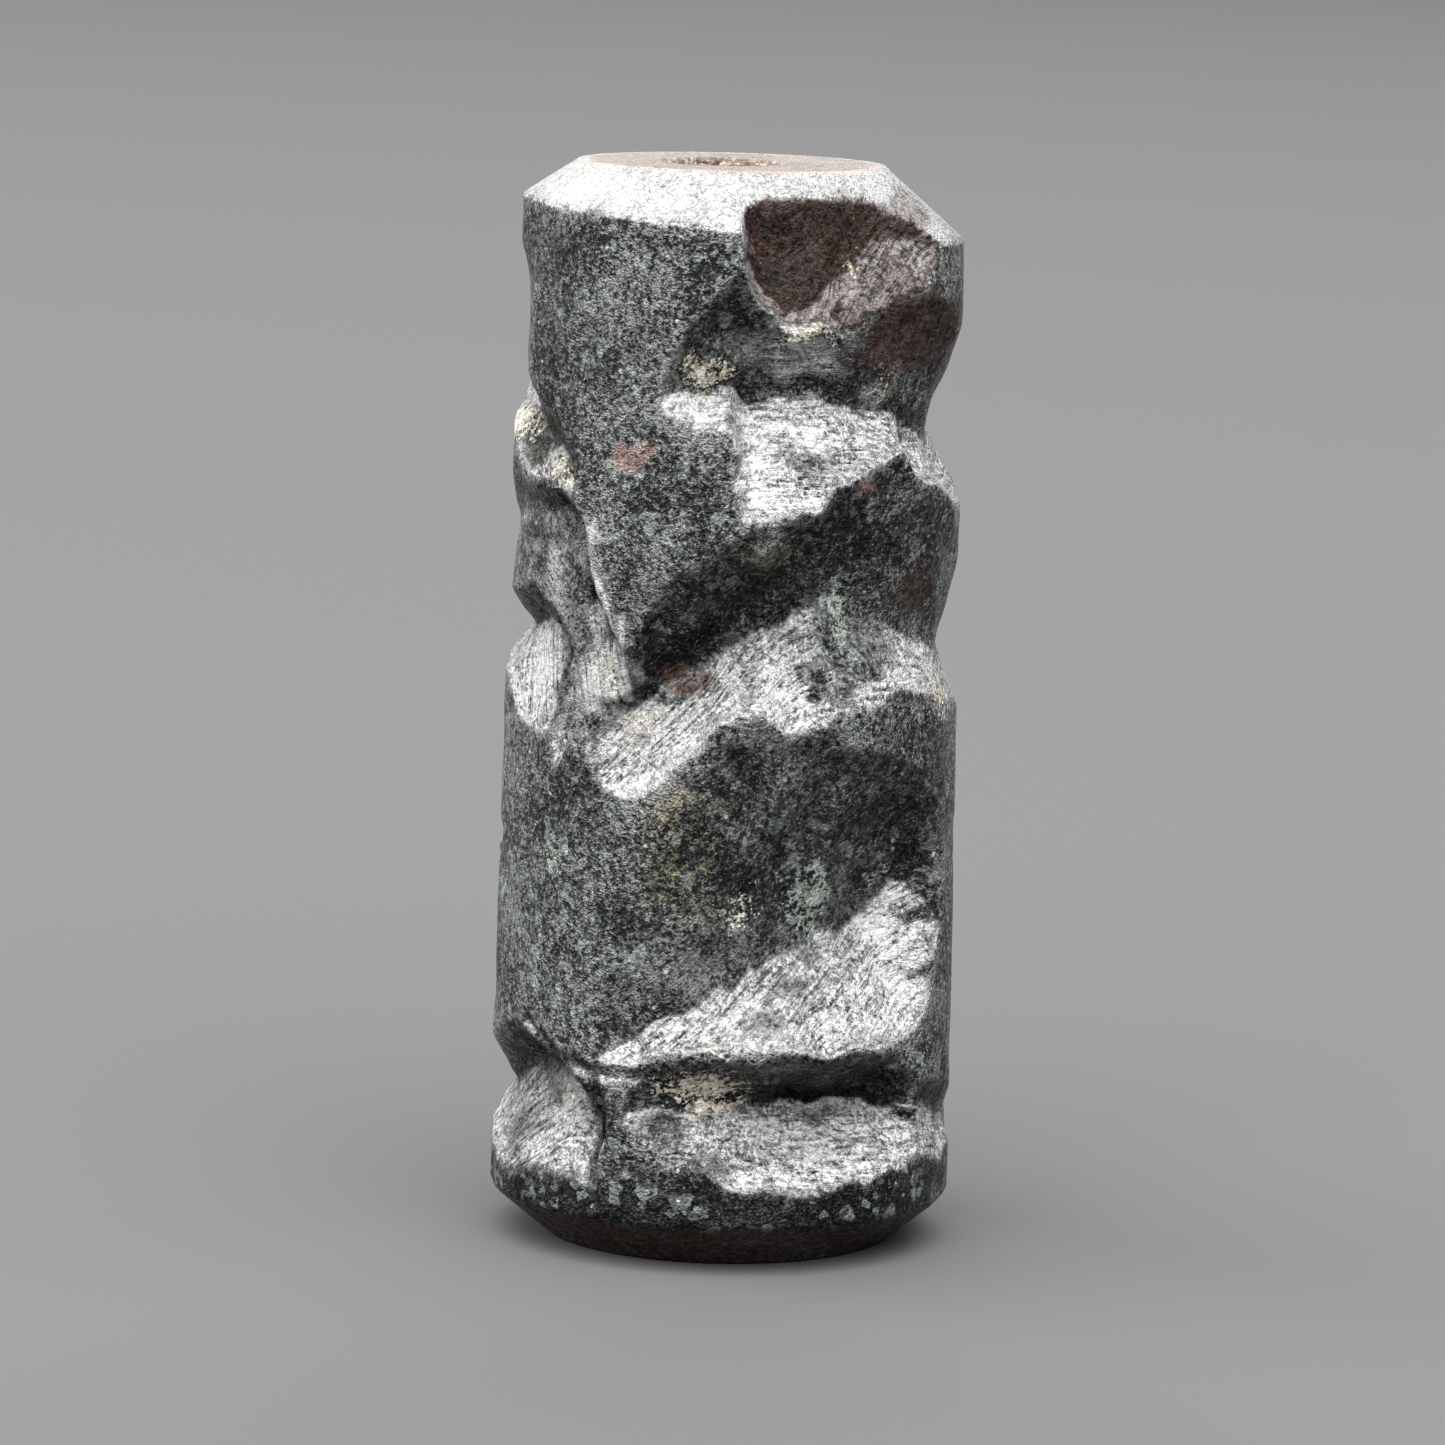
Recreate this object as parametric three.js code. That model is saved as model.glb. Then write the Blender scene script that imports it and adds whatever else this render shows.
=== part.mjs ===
// A cylinder seal of dark greenstone: one short stone column, bored from end to end, with worn ends
// and a carved band of deep wheel-cut hollows all the way round. Millimetres, +Z up, the stone stands
// on its base face with the middle of that face at the origin. Angles run from the front (-Y), and
// grow towards the right (+X).
import * as THREE from "three";

// Driving dimensions in millimetres.
const sealHeight = 29;
const footRadius = 6.25;
const shoulderRadius = 5.9;
const boreRadius = 1.5;
const boreMouthWear = 0.2;
const boreTopShift = -0.6;
const topFaceRadius = 4.1;
const topFaceShift = 0.35;
const topChamferHeight = 1.4;
const topChamferLean = 0.45;
const baseFaceRadius = 4.7;
const baseChamferHeight = 1.25;

// How finely the stone is faceted. The front half, which has the finest carving, has more columns
// than the back half.
const frontColumns = 48;
const backColumns = 32;
const sideRows = 52;
const chamferRows = 4;

const degree = Math.PI / 180;

// The carving is given as it measures on a seal of this height and foot radius, in millimetres, with
// places round it in degrees. It stretches with the seal.
const carvedForHeight = 29;
const carvedForRadius = 6.25;
const tall = sealHeight / carvedForHeight;
const wide = footRadius / carvedForRadius;

// Grooves of the cutting wheel. Each one runs through its stations, which are [angle, top edge, valley,
// bottom edge, depth]. The walls are flat where the curve is 1 and hollow out the more it grows:
// [curve of the upper wall, curve of the lower wall].
const grooves = {
  shoulderPocket: {
    curve: [2.2, 1],
    stations: [
      [1, 30.5, 26.9, 26.5, 0.85],
      [6, 31.5, 26.1, 25.6, 1.25],
      [13, 31.5, 25.4, 24.9, 1.45],
      [21, 31.5, 25.35, 24.8, 1.5],
      [27, 31.5, 25.7, 24.6, 1.45],
      [34, 31.5, 26.5, 24.8, 1.35],
      [42, 31.5, 27.1, 25.2, 1.25],
      [50, 31, 27.3, 25.6, 1],
      [58, 30, 27.4, 26.2, 0.55],
      [63, 29, 27.4, 26.8, 0.05],
    ],
  },
  waist: {
    curve: [1, 1.25],
    stations: [
      [-21, 23.5, 23.25, 23.1, 0.1],
      [-14, 24.6, 23.4, 22.85, 0.8],
      [-8, 25.5, 23.35, 22.5, 1.2],
      [-2, 26.3, 23.3, 22.25, 1.45],
      [1.2, 26.8, 23.2, 20.1, 1.6],
      [10, 27.2, 23.2, 20.15, 1.65],
      [20, 27.2, 23.1, 20.5, 1.65],
      [30, 26.8, 23, 21, 1.5],
      [38, 26.4, 22.9, 21.6, 1.3],
      [45, 26.4, 22.7, 21.9, 1.15],
      [54, 26.2, 22.5, 21.2, 1.05],
      [64, 25.8, 22.3, 20.8, 1],
      [76, 25.2, 22.1, 20.3, 0.95],
      [90, 24.8, 22, 20.1, 0.95],
      [110, 24.6, 22.6, 20.8, 1],
      [130, 24.6, 23.3, 22, 0.7],
      [148, 24.1, 23.7, 23.2, 0.1],
    ],
  },
  longValley: {
    curve: [1, 1.5],
    stations: [
      [-38, 14.2, 13.9, 13.2, 0.25],
      [-31, 15.3, 14.6, 12.8, 0.75],
      [-25, 16.4, 15.2, 12.5, 1.1],
      [-21, 17.8, 15.5, 12.6, 1.15],
      [-17, 18.3, 15.7, 13, 1.25],
      [-13, 18.8, 15.9, 13.6, 1.3],
      [-7, 19.3, 16.2, 14, 1.4],
      [-2, 19.6, 16.7, 14.7, 1.5],
      [3, 19.8, 17, 15.1, 1.55],
      [8, 19.9, 17.3, 15.05, 1.6],
      [12, 20.1, 17.4, 14.7, 1.6],
      [16, 20.2, 17.5, 14.3, 1.55],
      [20, 20.4, 17.6, 14.4, 1.45],
      [23, 20.5, 17.65, 14.9, 1.3],
      [27, 20.6, 17.7, 15.2, 1],
      [32, 20.4, 17.7, 15.4, 0.5],
    ],
  },
  valleyEnd: {
    curve: [1, 1],
    stations: [
      [22, 20.4, 18, 14.9, 1.1],
      [30, 20.8, 17.9, 15, 1.15],
      [38, 21.4, 17.6, 15.2, 1.1],
      [46, 21.7, 17.3, 15.3, 1],
      [54, 21.1, 17, 15.3, 0.9],
      [65, 20.7, 16.5, 15.2, 0.8],
      [78, 19.8, 16.4, 14.8, 0.65],
      [90, 18.8, 16.3, 14.6, 0.6],
      [115, 18.2, 15.8, 12.8, 1],
      [140, 17.2, 15, 11.4, 1.1],
      [162, 15.4, 13.9, 12, 0.7],
      [178, 13.6, 13.2, 12.7, 0.1],
    ],
  },
  limb: {
    curve: [0.8, 0.7],
    stations: [
      [-104, 20.2, 19, 17.4, 0.1],
      [-90, 20.6, 19.6, 16.9, 0.4],
      [-76, 20.9, 19.8, 15.8, 0.45],
      [-60, 20.8, 20.2, 14.6, 0.5],
      [-50, 20.6, 20, 13.2, 0.55],
      [-42, 19.6, 19, 13, 0.6],
      [-34, 17.5, 16.9, 13.2, 0.65],
      [-27, 16, 15.5, 13.2, 0.65],
      [-22, 15.2, 15, 13.4, 0.4],
    ],
  },
  neckNotch: {
    curve: [1, 1.2],
    stations: [
      [-150, 19.4, 19.2, 19, 0.05],
      [-120, 19, 17.8, 15.8, 0.7],
      [-90, 17.6, 16.4, 15.4, 0.85],
      [-76, 17.7, 16.7, 14.9, 1],
      [-62, 17.4, 16.6, 14.2, 0.95],
      [-54, 17, 16.3, 13.9, 0.8],
      [-48, 16.2, 15.2, 13.5, 0.65],
      [-46, 15.4, 14.6, 13.3, 0.3],
    ],
  },
  leftDimple: {
    curve: [1, 1],
    stations: [
      [-112, 24, 23.4, 22.8, 0.05],
      [-96, 24.6, 22.8, 22, 0.5],
      [-84, 24.4, 22.6, 21.7, 0.65],
      [-74, 23.7, 22.2, 20.9, 0.7],
      [-62, 23.2, 21.7, 20.5, 0.65],
      [-52, 22.6, 21.3, 20.3, 0.5],
      [-45, 21.6, 21, 20.4, 0.2],
    ],
  },
  belly: {
    curve: [1.2, 1.3],
    stations: [
      [-32, 7.4, 5.9, 5.5, 0.15],
      [-24, 10.5, 6.1, 5.5, 0.45],
      [-14, 12.8, 6.6, 5.8, 0.8],
      [-4, 14.4, 7.2, 6, 1.15],
      [5, 14.9, 7.8, 6.15, 1.4],
      [15, 14.7, 8.3, 6.1, 1.6],
      [26, 14.6, 8.7, 6, 1.75],
      [38, 14.2, 9, 6, 1.85],
      [48, 13.8, 9.3, 5.95, 1.85],
      [54, 13.4, 9.5, 6.2, 1.7],
      [60, 12.9, 9.7, 6.9, 1.35],
      [65, 12.2, 9.8, 7.9, 0.85],
      [70, 11.2, 9.9, 9.2, 0.1],
    ],
  },
  foot: {
    curve: [1.7, 1.1],
    stations: [
      [-24, 4.9, 4.3, 3.8, 0.2],
      [-18, 5.3, 4.4, 3.5, 0.5],
      [-10, 5.6, 4.4, 2.9, 0.8],
      [0, 5.7, 4.3, 2.45, 1.2],
      [8, 5.75, 4.2, 2.35, 1.5],
      [18, 5.8, 4.1, 2.3, 1.75],
      [30, 5.75, 4.05, 2.35, 1.85],
      [42, 5.7, 4.05, 2.5, 1.75],
      [52, 5.5, 4.05, 2.7, 1.35],
      [59, 5, 4.1, 3, 0.6],
    ],
  },
  footEnd: {
    curve: [1, 1],
    stations: [
      [60, 4.9, 4.2, 2.6, 0.35],
      [72, 4.6, 3.9, 2.4, 0.45],
      [88, 4.2, 3.6, 2.7, 0.25],
      [98, 3.9, 3.6, 3.2, 0.05],
    ],
  },
  bossGroove: {
    curve: [0.9, 1.5],
    stations: [
      [-138, 5.4, 5.2, 4.9, 0.05],
      [-112, 5.5, 4.6, 3, 0.7],
      [-90, 5.2, 3.9, 2.7, 0.75],
      [-76, 5.7, 4.7, 2.2, 1],
      [-62, 6, 5.05, 2, 1.15],
      [-52, 5.7, 5, 2, 1.15],
      [-45, 5.4, 4.75, 2.1, 1.05],
      [-40, 5.1, 4.4, 2.2, 0.9],
      [-36, 4.8, 3.9, 2.3, 0.7],
      [-33, 4.8, 3.6, 2.2, 0.55],
      [-30, 4.8, 3.4, 2.2, 0.35],
    ],
  },
  backShoulder: {
    curve: [1, 1.2],
    stations: [
      [165, 26.6, 26.2, 26, 0.05],
      [188, 27.2, 25.8, 23.8, 1.1],
      [214, 26.6, 24.9, 22.4, 1.3],
      [240, 25.6, 24.2, 22.3, 0.9],
      [258, 24.2, 23.6, 23, 0.1],
    ],
  },
  backLimb: {
    curve: [1, 1.2],
    stations: [
      [172, 22.2, 21.9, 21.5, 0.1],
      [190, 22.5, 21.2, 19.2, 0.9],
      [208, 21.7, 20.3, 18.2, 1],
      [226, 20, 19.2, 17.8, 0.5],
    ],
  },
  backMiddle: {
    curve: [1, 1.2],
    stations: [
      [192, 13.9, 13.4, 13, 0.1],
      [214, 14.1, 12.4, 10.2, 1],
      [238, 13, 11.6, 9.8, 1],
      [256, 11.6, 11, 10.5, 0.2],
    ],
  },
  backBelly: {
    curve: [1.2, 1.3],
    stations: [
      [98, 8.8, 8.3, 7.9, 0.05],
      [120, 11, 8.9, 6.5, 1.1],
      [150, 11.6, 8.7, 6, 1.4],
      [180, 10, 7.7, 5.8, 1],
      [206, 7.2, 6.5, 6.1, 0.2],
    ],
  },
  backFoot: {
    curve: [1.2, 1.2],
    stations: [
      [104, 5, 4.7, 4.2, 0.2],
      [130, 5.9, 4.8, 2.7, 1],
      [160, 5.8, 4.5, 2.3, 1.25],
      [190, 5.8, 4.6, 2.8, 0.95],
      [214, 5.3, 4.9, 4.6, 0.2],
    ],
  },
};

// Scoops of the drill and of the flat wheel: [angle, height, depth, half width in degrees,
// half height, squareness across, squareness up and down].
const scoops = {
  leftFlank: [-90, 24.6, 0.3, 22, 2.2, 3, 3],
  leftSide: [-92, 10.7, 0.22, 16, 0.45, 2, 2],
  backBreast: [168, 18.6, 0.8, 14, 1.75, 2, 1.5],
  backHip: [234, 8.1, 0.8, 17, 1.9, 2, 1.3],
  backKnee: [140, 11.9, 0.7, 13, 1.6, 2, 1.4],
  sideShoulder: [112, 26.7, 0.7, 15, 1.5, 3, 2],
};

// Narrow lines scored into the finished relief, through stations of [angle, height, depth, half width].
const lines = {
  neckLine: [
    [-66, 17.3, 0.4, 0.4],
    [-56, 17, 0.6, 0.4],
    [-49.5, 16.3, 0.7, 0.4],
    [-47, 14.9, 0.6, 0.4],
    [-46, 13.2, 0.2, 0.4],
  ],
  bossLedge: [
    [-58, 6.3, 0.2, 0.4],
    [-49, 5.6, 0.35, 0.4],
    [-40, 5.3, 0.25, 0.4],
    [-26, 5.2, 0.2, 0.4],
    [-14, 5.3, 0.2, 0.4],
  ],
  footSlot: [
    [6, 4.6, 0.1, 0.4],
    [16, 4.5, 0.3, 0.55],
    [28, 4.45, 0.45, 0.6],
    [42, 4.4, 0.4, 0.6],
    [52, 4.4, 0.15, 0.45],
  ],
  valleySlot: [
    [-21, 15.7, 0.2, 0.4],
    [-12, 16.4, 0.35, 0.5],
    [0, 17.4, 0.3, 0.45],
    [9, 17.9, 0.1, 0.4],
  ],
};

// The radius of the uncarved stone at a height: it tapers a little from the foot to the shoulder.
function bodyRadius(z) {
  const rise = (z - baseChamferHeight) / (sealHeight - topChamferHeight - baseChamferHeight);
  return footRadius + (shoulderRadius - footRadius) * THREE.MathUtils.clamp(rise, 0, 1) ** 1.3;
}

// The worn top face is a little off the axis, so the chamfer round it is wider and lower on the right.
function topFaceEdge(angle) {
  return topFaceRadius - topFaceShift * Math.sin(angle);
}

function topChamferFall(angle) {
  return topChamferHeight + topChamferLean * Math.sin(angle);
}

// The same angle in degrees, counted so that it lies within half a turn of another one.
function turnTo(angle, near) {
  return near + THREE.MathUtils.euclideanModulo(angle - near + 180, 360) - 180;
}

// The values of a groove at an angle, between those of the two stations beside it. A groove has none
// before its first station and after its last one.
function valuesAt(stations, angle) {
  const place = turnTo(angle, (stations[0][0] + stations.at(-1)[0]) / 2);
  const next = stations.findIndex(([turn]) => turn >= place);
  if (next < 1) {
    return null;
  }
  const from = stations[next - 1];
  const to = stations[next];
  const share = (place - from[0]) / (to[0] - from[0]);
  return from.map((value, i) => THREE.MathUtils.lerp(value, to[i], share));
}

// The depth that one groove has cut at a place.
function grooveDepth(groove, angle, height) {
  const values = valuesAt(groove.stations, angle);
  if (!values) {
    return 0;
  }
  const [, top, valley, bottom, depth] = values;
  const [upperCurve, lowerCurve] = groove.curve;
  if (height > valley) {
    return depth * (1 - Math.min(1, (height - valley) / (top - valley)) ** upperCurve);
  }
  return depth * (1 - Math.min(1, (valley - height) / (valley - bottom)) ** lowerCurve);
}

// The depth that one scoop has cut at a place.
function scoopDepth(scoop, angle, height) {
  const [middle, level, depth, halfWidth, halfHeight, squareAcross, squareUp] = scoop;
  const across = Math.abs(turnTo(angle, middle) - middle) / halfWidth;
  const up = Math.abs(height - level) / halfHeight;
  return Math.max(0, depth * (1 - across ** squareAcross - up ** squareUp));
}

// The depth that one narrow line has cut at a place, on the unrolled surface of the stone.
function lineDepth(stations, angle, height) {
  let deepest = 0;
  for (let i = 1; i < stations.length; i++) {
    const [startAngle, startHeight, startDepth, startHalf] = stations[i - 1];
    const [endAngle, endHeight, endDepth, endHalf] = stations[i];
    const runX = (endAngle - startAngle) * degree * footRadius;
    const runY = endHeight - startHeight;
    const offX = (turnTo(angle, startAngle) - startAngle) * degree * footRadius;
    const offY = height - startHeight;
    const along = (offX * runX + offY * runY) / (runX ** 2 + runY ** 2);
    const share = THREE.MathUtils.clamp(along, 0, 1);
    const miss = Math.hypot(offX - share * runX, offY - share * runY);
    const half = THREE.MathUtils.lerp(startHalf, endHalf, share);
    const depth = THREE.MathUtils.lerp(startDepth, endDepth, share);
    deepest = Math.max(deepest, depth * (1 - miss / half));
  }
  return deepest;
}

// The radius of the finished stone at a place on its side or its chamfers.
function carvedRadius(angle, z) {
  const degrees = angle / degree;
  const height = z / tall;
  let depth = 0;
  for (const groove of Object.values(grooves)) {
    depth = Math.max(depth, grooveDepth(groove, degrees, height));
  }
  for (const scoop of Object.values(scoops)) {
    depth = Math.max(depth, scoopDepth(scoop, degrees, height));
  }
  for (const stations of Object.values(lines)) {
    depth += lineDepth(stations, degrees, height);
  }
  const topEdge = topFaceEdge(angle);
  const topSlope = (shoulderRadius - topEdge) / topChamferFall(angle);
  const baseSlope = (footRadius - baseFaceRadius) / baseChamferHeight;
  const underTop = topEdge + (sealHeight - z) * topSlope;
  const overBase = baseFaceRadius + z * baseSlope;
  return Math.min(bodyRadius(z) - depth * wide, underTop, overBase);
}

// A point at a radius and height in the section at one angle, about the axis or beside it.
function pointAt(angle, radius, z, shift = 0) {
  return new THREE.Vector3(shift + radius * Math.sin(angle), -radius * Math.cos(angle), z);
}

// A point of the bore, which was drilled a little askew: it comes out in the middle of the base face
// and beside the middle of the top face.
function borePoint(angle, radius, z) {
  return pointAt(angle, radius, z, (boreTopShift * z) / sealHeight);
}

// The closed section of the stone at one angle, from the foot of the bore up through it, over the top
// face, down the carved side and back under the base face.
function section(angle) {
  const mouthRadius = boreRadius + boreMouthWear;
  const shoulder = sealHeight - topChamferFall(angle);
  const points = [
    borePoint(angle, boreRadius, boreMouthWear),
    borePoint(angle, boreRadius, sealHeight - boreMouthWear),
    borePoint(angle, mouthRadius, sealHeight),
    pointAt(angle, topFaceEdge(angle), sealHeight),
  ];
  for (let i = 1; i < chamferRows; i++) {
    const z = THREE.MathUtils.lerp(sealHeight, shoulder, i / chamferRows);
    points.push(pointAt(angle, carvedRadius(angle, z), z));
  }
  for (let i = 0; i <= sideRows; i++) {
    const z = THREE.MathUtils.lerp(shoulder, baseChamferHeight, i / sideRows);
    points.push(pointAt(angle, carvedRadius(angle, z), z));
  }
  points.push(pointAt(angle, baseFaceRadius, 0), borePoint(angle, mouthRadius, 0));
  return points;
}

// The angles of the columns: evenly apart in each half, from the left side round by the front.
function columnAngles() {
  const angles = [];
  for (let i = 0; i < frontColumns; i++) {
    angles.push((i / frontColumns - 0.5) * Math.PI);
  }
  for (let i = 0; i < backColumns; i++) {
    angles.push((i / backColumns + 0.5) * Math.PI);
  }
  return angles;
}

// The stone's surface: the sections of all the columns, joined round into one closed skin. Each patch
// between two sections is split along its shorter diagonal.
function stoneGeometry() {
  const sections = columnAngles().map(section);
  const positions = sections.flat().flatMap((point) => point.toArray());
  const columns = sections.length;
  const ring = sections[0].length;
  const faces = [];
  for (let column = 0; column < columns; column++) {
    const next = (column + 1) % columns;
    for (let row = 0; row < ring; row++) {
      const below = (row + 1) % ring;
      const a = column * ring + row;
      const b = next * ring + row;
      const c = next * ring + below;
      const d = column * ring + below;
      const fall = sections[column][row].distanceTo(sections[next][below]);
      const rise = sections[next][row].distanceTo(sections[column][below]);
      if (fall <= rise) {
        faces.push(a, c, b, a, d, c);
      } else {
        faces.push(a, d, b, b, d, c);
      }
    }
  }
  const geometry = new THREE.BufferGeometry();
  geometry.setAttribute("position", new THREE.Float32BufferAttribute(positions, 3));
  geometry.setIndex(faces);
  geometry.computeVertexNormals();
  return geometry;
}

const greenstone = new THREE.MeshStandardMaterial({
  color: 0x30343a,
  roughness: 0.42,
  metalness: 0,
});

const stone = new THREE.Mesh(stoneGeometry(), greenstone);
stone.name = "seal_stone";

const seal = new THREE.Group();
seal.add(stone);

export default seal;
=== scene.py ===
import math

import bpy
import numpy as np
from mathutils import Matrix, Vector


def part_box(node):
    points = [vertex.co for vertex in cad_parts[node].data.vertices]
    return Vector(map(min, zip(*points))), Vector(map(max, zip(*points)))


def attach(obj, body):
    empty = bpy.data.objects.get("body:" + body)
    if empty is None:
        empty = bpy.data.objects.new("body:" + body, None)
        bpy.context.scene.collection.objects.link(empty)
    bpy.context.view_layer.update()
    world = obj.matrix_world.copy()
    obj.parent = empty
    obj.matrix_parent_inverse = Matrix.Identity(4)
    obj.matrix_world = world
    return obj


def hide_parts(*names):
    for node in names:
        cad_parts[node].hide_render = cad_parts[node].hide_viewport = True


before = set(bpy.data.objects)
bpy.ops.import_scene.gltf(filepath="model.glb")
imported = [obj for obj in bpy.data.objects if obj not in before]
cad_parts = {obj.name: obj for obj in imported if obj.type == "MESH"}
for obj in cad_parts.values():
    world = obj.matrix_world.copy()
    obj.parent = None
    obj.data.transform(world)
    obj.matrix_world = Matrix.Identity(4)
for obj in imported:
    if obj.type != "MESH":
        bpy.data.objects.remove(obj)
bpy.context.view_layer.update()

# The stone. One column of dark greenstone, sawn and ground round, bored from end to end with a drill,
# and carved all the way round with cutting wheels and drills. The ends and edges are worn smooth.
MM = 0.001
DEGREE = math.pi / 180

stone_low, stone_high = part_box("seal_stone")
seal_height = (stone_high.z - stone_low.z) / MM
foot_radius = max(stone_high.y, stone_high.x) / MM
shoulder_radius = 5.9
bore_radius = 1.5
bore_mouth_wear = 0.2
bore_top_shift = -0.6
top_face_radius = 4.1
top_face_shift = 0.35
top_chamfer_height = 1.4
top_chamfer_lean = 0.45
base_face_radius = 4.7
base_chamfer_height = 1.25

# How finely the stone is divided: columns round it, and rows down the side, over both chamfers, over
# the end faces and along the bore.
columns = 360
front_crowding = 0.3
side_rows = 228
top_chamfer_rows = 14
base_chamfer_rows = 9
face_rings = 6
bore_rings = 6

# The carving is given as it was measured, in mm on a seal 29 mm tall and 12.5 mm across, with angles in
# degrees from the front, growing to the right. It stretches with the seal.
tall = seal_height / 29.0
wide = foot_radius / 6.25

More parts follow.
